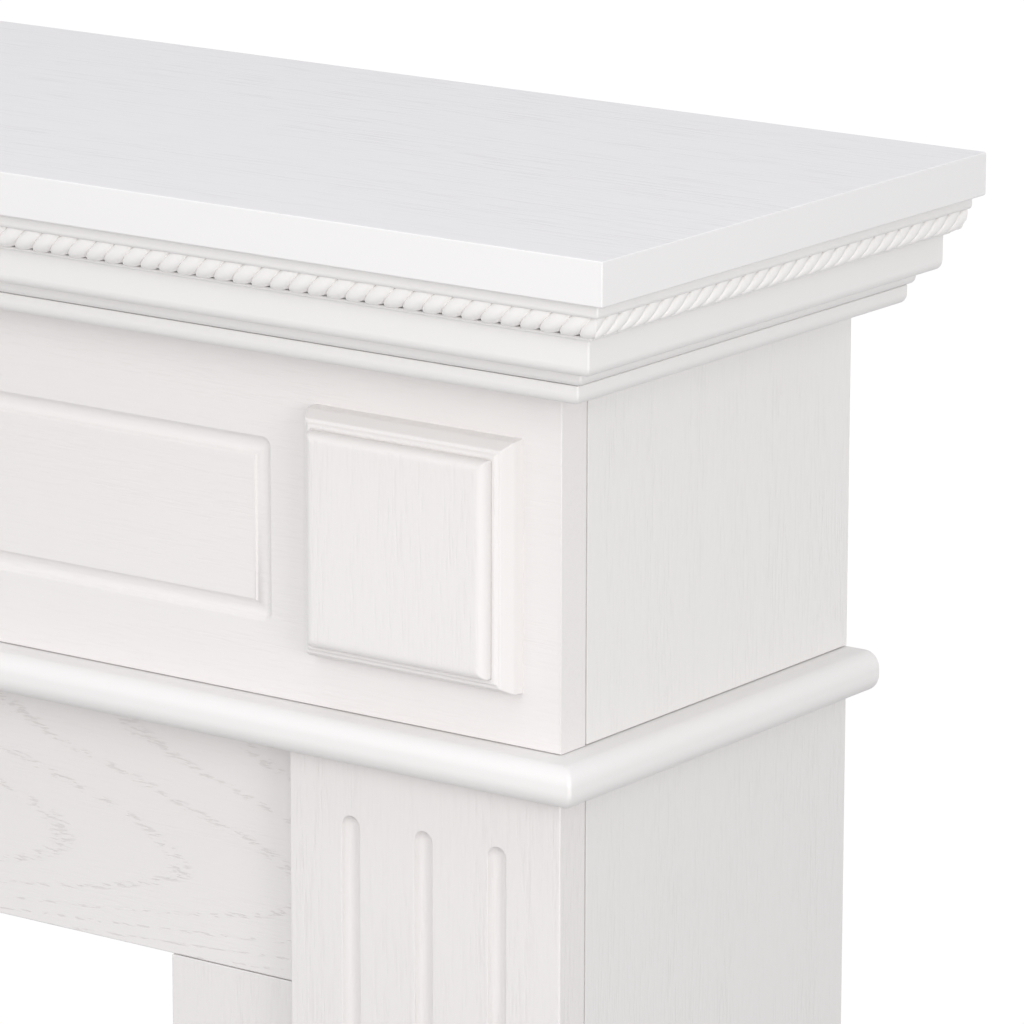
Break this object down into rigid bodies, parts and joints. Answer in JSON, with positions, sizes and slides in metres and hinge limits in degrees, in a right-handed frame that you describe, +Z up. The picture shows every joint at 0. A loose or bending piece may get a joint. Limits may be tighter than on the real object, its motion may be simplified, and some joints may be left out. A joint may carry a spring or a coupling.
{
  "type": "fireplace mantelpiece",
  "caption": "Painted wooden fireplace surround: overhanging shelf on a stepped cornice with rope moulding, grooved frieze with raised square blocks, fluted pilasters on plinths.",
  "frame": {"origin": "on the floor, under the middle of the overall width and depth", "axes": "+X to the right along the shelf, seen from the front; +Y to the back, towards the wall; +Z up"},
  "size_m": [1.396, 0.413, 1.031],
  "materials": {
    "painted_veneer": "white satin paint over open-grained oak veneer",
    "painted_moulding": "smooth white satin paint"
  },
  "bodies": {
    "root": {"shelf": "painted_veneer", "crown_front": "painted_moulding", "crown_right": "painted_moulding", "crown_left": "painted_moulding", "rope_front": "painted_moulding", "rope_right": "painted_moulding", "rope_left": "painted_moulding", "ovolo_front": "painted_moulding", "ovolo_right": "painted_moulding", "ovolo_left": "painted_moulding", "frieze_board": "painted_veneer", "block_right": "painted_veneer", "block_left": "painted_veneer", "middle_board": "painted_moulding", "pilaster_right": "painted_veneer", "pilaster_left": "painted_veneer", "upper_side_right": "painted_veneer", "upper_side_left": "painted_veneer", "leg_side_right": "painted_veneer", "leg_side_left": "painted_veneer", "apron": "painted_veneer", "stile_right": "painted_veneer", "stile_left": "painted_veneer", "plinth_front_right": "painted_moulding", "plinth_front_left": "painted_moulding", "plinth_side_right": "painted_moulding", "plinth_side_left": "painted_moulding"}
  },
  "joints": []
}
